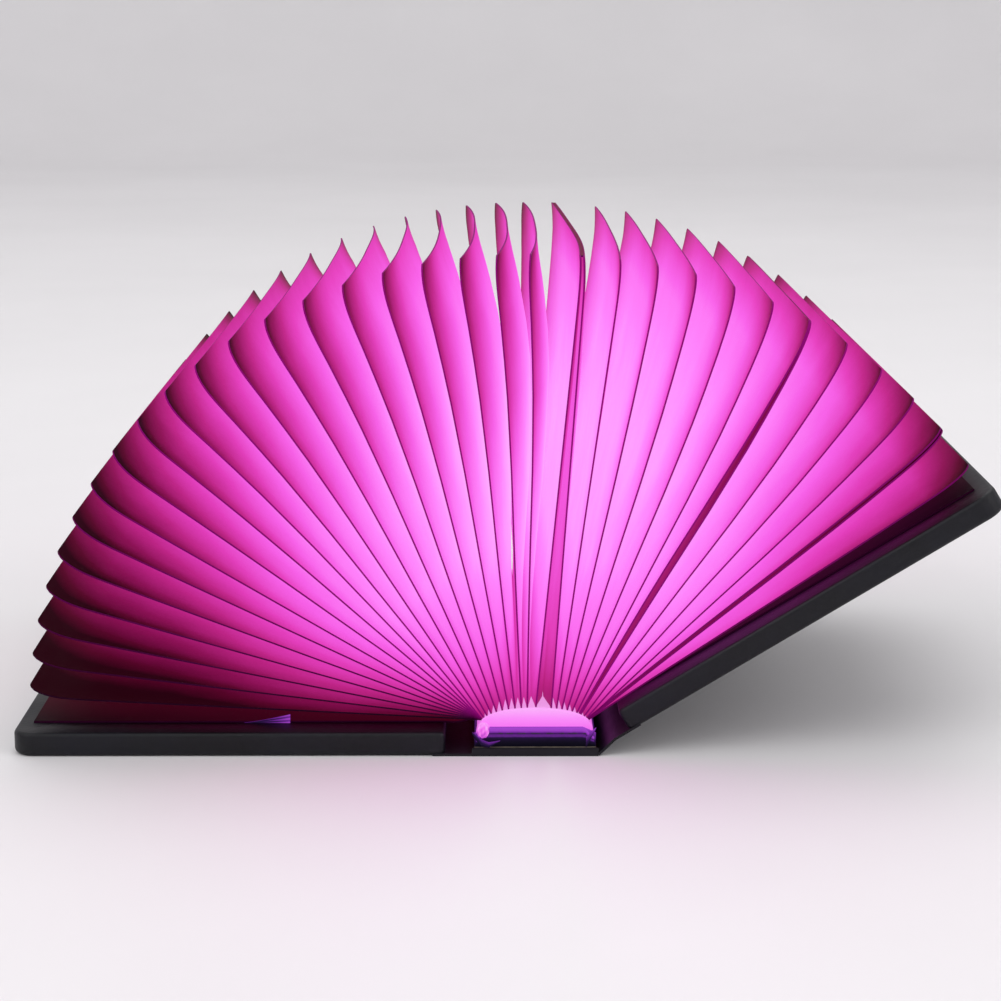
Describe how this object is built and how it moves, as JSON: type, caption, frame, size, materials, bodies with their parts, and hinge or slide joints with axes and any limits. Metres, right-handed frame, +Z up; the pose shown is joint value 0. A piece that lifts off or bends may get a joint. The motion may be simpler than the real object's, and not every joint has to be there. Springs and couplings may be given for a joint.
{
  "type": "folding book lamp",
  "caption": "Book-shaped lamp, open: two hinged covers, a glowing fan of paper pages and a lit diffuser along the spine.",
  "frame": {"origin": "middle of the spine's flat underside, which rests on the table", "axes": "+Z up, +Y along the spine from the near end to the end with the charging socket, +X towards the front cover"},
  "size_m": [0.1917, 0.122, 0.0972],
  "materials": {
    "skin": "satin",
    "board": "matte",
    "lining": "gloss",
    "diffuser": "satin",
    "page_paper": "matte",
    "end_paper": "matte",
    "tray_plastic": "matte",
    "cell_foil": "satin",
    "foam": "matte",
    "lead_sheath": "satin",
    "led_body": "gloss",
    "board_green": "satin",
    "board_white": "satin",
    "socket_steel": "satin",
    "reed_glass": "gloss",
    "magnet_plate": "satin"
  },
  "bodies": {
    "spine": {"spine_skin": "skin", "spine_board": "board", "spine_lining": "lining", "diffuser": "diffuser", "tray": "tray_plastic", "cell": "cell_foil", "cell_pad": "foam", "cell_leads": "lead_sheath", "led_board": "board_white", "leds": "led_body", "control_board": "board_green", "charging_socket": "socket_steel", "reed_switch": "reed_glass", "back_hinge_strip": "skin", "front_hinge_strip": "skin", "back_inner_folds": "page_paper", "front_inner_folds": "page_paper"},
    "back_cover": {"back_board": "board", "back_skin": "skin", "back_end_leaf": "end_paper", "back_magnets": "magnet_plate"},
    "front_cover": {"front_board": "board", "front_skin": "skin", "front_end_leaf": "end_paper", "front_magnets": "magnet_plate"},
    "page_01": {"page_01": "page_paper"},
    "page_02": {"page_02": "page_paper"},
    "page_03": {"page_03": "page_paper"},
    "page_04": {"page_04": "page_paper"},
    "page_05": {"page_05": "page_paper"},
    "page_06": {"page_06": "page_paper"},
    "page_07": {"page_07": "page_paper"},
    "page_08": {"page_08": "page_paper"},
    "page_09": {"page_09": "page_paper"},
    "page_10": {"page_10": "page_paper"},
    "page_11": {"page_11": "page_paper"},
    "page_12": {"page_12": "page_paper"},
    "page_13": {"page_13": "page_paper"},
    "page_14": {"page_14": "page_paper"},
    "page_15": {"page_15": "page_paper"},
    "page_16": {"page_16": "page_paper"},
    "page_17": {"page_17": "page_paper"},
    "page_18": {"page_18": "page_paper"},
    "page_19": {"page_19": "page_paper"},
    "page_20": {"page_20": "page_paper"},
    "page_21": {"page_21": "page_paper"},
    "page_22": {"page_22": "page_paper"},
    "page_23": {"page_23": "page_paper"},
    "page_24": {"page_24": "page_paper"},
    "page_25": {"page_25": "page_paper"},
    "page_26": {"page_26": "page_paper"},
    "page_27": {"page_27": "page_paper"},
    "page_28": {"page_28": "page_paper"},
    "page_29": {"page_29": "page_paper"},
    "page_30": {"page_30": "page_paper"},
    "page_31": {"page_31": "page_paper"},
    "page_32": {"page_32": "page_paper"}
  },
  "joints": [
    {"name": "back_cover_hinge", "type": "hinge", "parent": "spine", "child": "back_cover", "pos_m": [-0.0093, 0, 0.004], "axis": [0, 1, 0], "range_deg": [-93, 90], "deforming": ["back_hinge_strip", "back_inner_folds"]},
    {"name": "front_cover_hinge", "type": "hinge", "parent": "spine", "child": "front_cover", "pos_m": [0.0093, 0, 0.004], "axis": [0, -1, 0], "range_deg": [-124.5, 58.5], "deforming": ["front_hinge_strip", "front_inner_folds"]},
    {"name": "page_01_turn", "type": "hinge", "parent": "spine", "child": "page_01", "pos_m": [-0.0093, 0, 0.00541], "axis": [0, 1, 0], "range_deg": [-89.86, 86.97]},
    {"name": "page_02_turn", "type": "hinge", "parent": "spine", "child": "page_02", "pos_m": [-0.0093, 0, 0.00498], "axis": [0, 1, 0], "range_deg": [-85.54, 82.78]},
    {"name": "page_03_turn", "type": "hinge", "parent": "spine", "child": "page_03", "pos_m": [-0.0093, 0, 0.00452], "axis": [0, 1, 0], "range_deg": [-80.99, 78.38]},
    {"name": "page_04_turn", "type": "hinge", "parent": "spine", "child": "page_04", "pos_m": [-0.0093, 0, 0.00404], "axis": [0, 1, 0], "range_deg": [-76.26, 73.8]},
    {"name": "page_05_turn", "type": "hinge", "parent": "spine", "child": "page_05", "pos_m": [-0.0093, 0, 0.0035], "axis": [0, 1, 0], "range_deg": [-71.38, 69.08]},
    {"name": "page_06_turn", "type": "hinge", "parent": "spine", "child": "page_06", "pos_m": [-0.0093, 0, 0.00291], "axis": [0, 1, 0], "range_deg": [-66.37, 64.23]},
    {"name": "page_07_turn", "type": "hinge", "parent": "spine", "child": "page_07", "pos_m": [-0.0093, 0, 0.00223], "axis": [0, 1, 0], "range_deg": [-61.27, 59.29]},
    {"name": "page_08_turn", "type": "hinge", "parent": "spine", "child": "page_08", "pos_m": [-0.0093, 0, 0.00144], "axis": [0, 1, 0], "range_deg": [-56.1, 54.29]},
    {"name": "page_09_turn", "type": "hinge", "parent": "spine", "child": "page_09", "pos_m": [-0.0093, 0, 0.00051], "axis": [0, 1, 0], "range_deg": [-50.89, 49.25]},
    {"name": "page_10_turn", "type": "hinge", "parent": "spine", "child": "page_10", "pos_m": [-0.0093, 0, -0.00063], "axis": [0, 1, 0], "range_deg": [-45.69, 44.21]},
    {"name": "page_11_turn", "type": "hinge", "parent": "spine", "child": "page_11", "pos_m": [-0.0093, 0, -0.00185], "axis": [0, 1, 0], "range_deg": [-40.51, 39.2]},
    {"name": "page_12_turn", "type": "hinge", "parent": "spine", "child": "page_12", "pos_m": [-0.0093, 0, -0.00281], "axis": [0, 1, 0], "range_deg": [-35.39, 34.25]},
    {"name": "page_13_turn", "type": "hinge", "parent": "spine", "child": "page_13", "pos_m": [-0.0093, 0, -0.00356], "axis": [0, 1, 0], "range_deg": [-30.35, 29.37]},
    {"name": "page_14_turn", "type": "hinge", "parent": "spine", "child": "page_14", "pos_m": [-0.0093, 0, -0.00414], "axis": [0, 1, 0], "range_deg": [-25.44, 24.62]},
    {"name": "page_15_turn", "type": "hinge", "parent": "spine", "child": "page_15", "pos_m": [-0.0093, 0, -0.00456], "axis": [0, 1, 0], "range_deg": [-20.67, 20]},
    {"name": "page_16_turn", "type": "hinge", "parent": "spine", "child": "page_16", "pos_m": [-0.0093, 0, -0.00484], "axis": [0, 1, 0], "range_deg": [-16.08, 15.56]},
    {"name": "page_17_turn", "type": "hinge", "parent": "spine", "child": "page_17", "pos_m": [-0.0093, 0, -0.00495], "axis": [0, 1, 0], "range_deg": [-11.7, 11.32]},
    {"name": "page_18_turn", "type": "hinge", "parent": "spine", "child": "page_18", "pos_m": [-0.0093, 0, -0.0049], "axis": [0, 1, 0], "range_deg": [-7.56, 7.32]},
    {"name": "page_19_turn", "type": "hinge", "parent": "spine", "child": "page_19", "pos_m": [-0.0093, 0, -0.00467], "axis": [0, 1, 0], "range_deg": [-3.69, 3.57]},
    {"name": "page_20_turn", "type": "hinge", "parent": "spine", "child": "page_20", "pos_m": [-0.0093, 0, -0.00081], "axis": [0, 1, 0], "range_deg": [-0.12, 0.11]},
    {"name": "page_21_turn", "type": "hinge", "parent": "spine", "child": "page_21", "pos_m": [0.0093, 0, -0.00212], "axis": [0, -1, 0], "range_deg": [-8.74, 4.12]},
    {"name": "page_22_turn", "type": "hinge", "parent": "spine", "child": "page_22", "pos_m": [0.0093, 0, -0.00091], "axis": [0, -1, 0], "range_deg": [-16.91, 7.95]},
    {"name": "page_23_turn", "type": "hinge", "parent": "spine", "child": "page_23", "pos_m": [0.0093, 0, -0.00049], "axis": [0, -1, 0], "range_deg": [-25.45, 11.97]},
    {"name": "page_24_turn", "type": "hinge", "parent": "spine", "child": "page_24", "pos_m": [0.0093, 0, -0.00023], "axis": [0, -1, 0], "range_deg": [-34.37, 16.16]},
    {"name": "page_25_turn", "type": "hinge", "parent": "spine", "child": "page_25", "pos_m": [0.0093, 0, 0.00003], "axis": [0, -1, 0], "range_deg": [-43.66, 20.52]},
    {"name": "page_26_turn", "type": "hinge", "parent": "spine", "child": "page_26", "pos_m": [0.0093, 0, 0.00033], "axis": [0, -1, 0], "range_deg": [-53.33, 25.07]},
    {"name": "page_27_turn", "type": "hinge", "parent": "spine", "child": "page_27", "pos_m": [0.0093, 0, 0.00071], "axis": [0, -1, 0], "range_deg": [-63.37, 29.78]},
    {"name": "page_28_turn", "type": "hinge", "parent": "spine", "child": "page_28", "pos_m": [0.0093, 0, 0.00118], "axis": [0, -1, 0], "range_deg": [-73.78, 34.68]},
    {"name": "page_29_turn", "type": "hinge", "parent": "spine", "child": "page_29", "pos_m": [0.0093, 0, 0.00177], "axis": [0, -1, 0], "range_deg": [-84.57, 39.75]},
    {"name": "page_30_turn", "type": "hinge", "parent": "spine", "child": "page_30", "pos_m": [0.0093, 0, 0.00252], "axis": [0, -1, 0], "range_deg": [-95.74, 44.99]},
    {"name": "page_31_turn", "type": "hinge", "parent": "spine", "child": "page_31", "pos_m": [0.0093, 0, 0.0035], "axis": [0, -1, 0], "range_deg": [-107.28, 50.42]},
    {"name": "page_32_turn", "type": "hinge", "parent": "spine", "child": "page_32", "pos_m": [0.0093, 0, 0.00445], "axis": [0, -1, 0], "range_deg": [-119.19, 56.01]}
  ],
  "couplings": [
    {"joint": "page_01_turn", "follows": "back_cover_hinge", "ratio": 0.96612},
    {"joint": "page_02_turn", "follows": "back_cover_hinge", "ratio": 0.91959},
    {"joint": "page_03_turn", "follows": "back_cover_hinge", "ratio": 0.87074},
    {"joint": "page_04_turn", "follows": "back_cover_hinge", "ratio": 0.81988},
    {"joint": "page_05_turn", "follows": "back_cover_hinge", "ratio": 0.76736},
    {"joint": "page_06_turn", "follows": "back_cover_hinge", "ratio": 0.71349},
    {"joint": "page_07_turn", "follows": "back_cover_hinge", "ratio": 0.65861},
    {"joint": "page_08_turn", "follows": "back_cover_hinge", "ratio": 0.60303},
    {"joint": "page_09_turn", "follows": "back_cover_hinge", "ratio": 0.54709},
    {"joint": "page_10_turn", "follows": "back_cover_hinge", "ratio": 0.49111},
    {"joint": "page_11_turn", "follows": "back_cover_hinge", "ratio": 0.43542},
    {"joint": "page_12_turn", "follows": "back_cover_hinge", "ratio": 0.38035},
    {"joint": "page_13_turn", "follows": "back_cover_hinge", "ratio": 0.32621},
    {"joint": "page_14_turn", "follows": "back_cover_hinge", "ratio": 0.27335},
    {"joint": "page_15_turn", "follows": "back_cover_hinge", "ratio": 0.22208},
    {"joint": "page_16_turn", "follows": "back_cover_hinge", "ratio": 0.17274},
    {"joint": "page_17_turn", "follows": "back_cover_hinge", "ratio": 0.12564},
    {"joint": "page_18_turn", "follows": "back_cover_hinge", "ratio": 0.08112},
    {"joint": "page_19_turn", "follows": "back_cover_hinge", "ratio": 0.0395},
    {"joint": "page_20_turn", "follows": "back_cover_hinge", "ratio": 0.00111},
    {"joint": "page_21_turn", "follows": "front_cover_hinge", "ratio": 0.07009},
    {"joint": "page_22_turn", "follows": "front_cover_hinge", "ratio": 0.13569},
    {"joint": "page_23_turn", "follows": "front_cover_hinge", "ratio": 0.20431},
    {"joint": "page_24_turn", "follows": "front_cover_hinge", "ratio": 0.27593},
    {"joint": "page_25_turn", "follows": "front_cover_hinge", "ratio": 0.35056},
    {"joint": "page_26_turn", "follows": "front_cover_hinge", "ratio": 0.42821},
    {"joint": "page_27_turn", "follows": "front_cover_hinge", "ratio": 0.50885},
    {"joint": "page_28_turn", "follows": "front_cover_hinge", "ratio": 0.59251},
    {"joint": "page_29_turn", "follows": "front_cover_hinge", "ratio": 0.67918},
    {"joint": "page_30_turn", "follows": "front_cover_hinge", "ratio": 0.76885},
    {"joint": "page_31_turn", "follows": "front_cover_hinge", "ratio": 0.86154},
    {"joint": "page_32_turn", "follows": "front_cover_hinge", "ratio": 0.95723}
  ]
}
